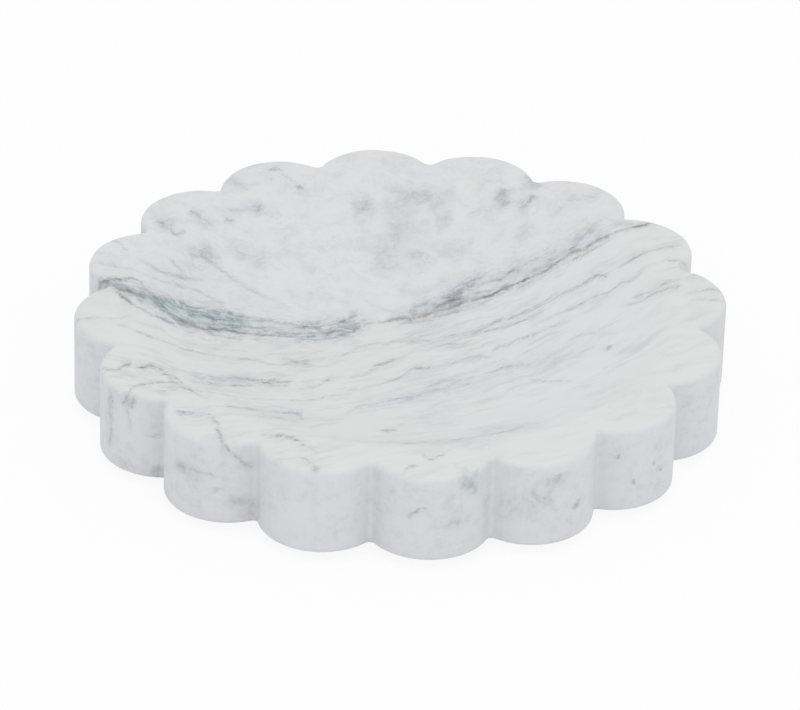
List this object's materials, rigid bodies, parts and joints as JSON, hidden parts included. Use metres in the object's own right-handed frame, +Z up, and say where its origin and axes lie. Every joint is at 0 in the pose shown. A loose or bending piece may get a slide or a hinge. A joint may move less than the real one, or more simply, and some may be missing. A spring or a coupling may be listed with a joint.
{
  "type": "soap dish",
  "caption": "Round soap dish cut from honed, grey-veined white marble, with a scalloped edge, a shallow bowl for a bar of soap and rubber feet under its flat base.",
  "frame": {"origin": "on the surface that the dish stands on, under the middle of the dish", "axes": "+Z up along the axis of the bowl, -Y towards the front of the picture, the tip of one lobe along +X"},
  "size_m": [0.14, 0.14, 0.022],
  "materials": {
    "marble": "honed",
    "rubber": "moulded, satin",
    "adhesive": "die-cut film"
  },
  "bodies": {
    "root": {"dish_body": "marble", "rubber_foot_front_left": "rubber", "rubber_foot_front_right": "rubber", "rubber_foot_rear_left": "rubber", "rubber_foot_rear_right": "rubber", "adhesive_disc_front_left": "adhesive", "adhesive_disc_front_right": "adhesive", "adhesive_disc_rear_left": "adhesive", "adhesive_disc_rear_right": "adhesive"}
  },
  "joints": []
}
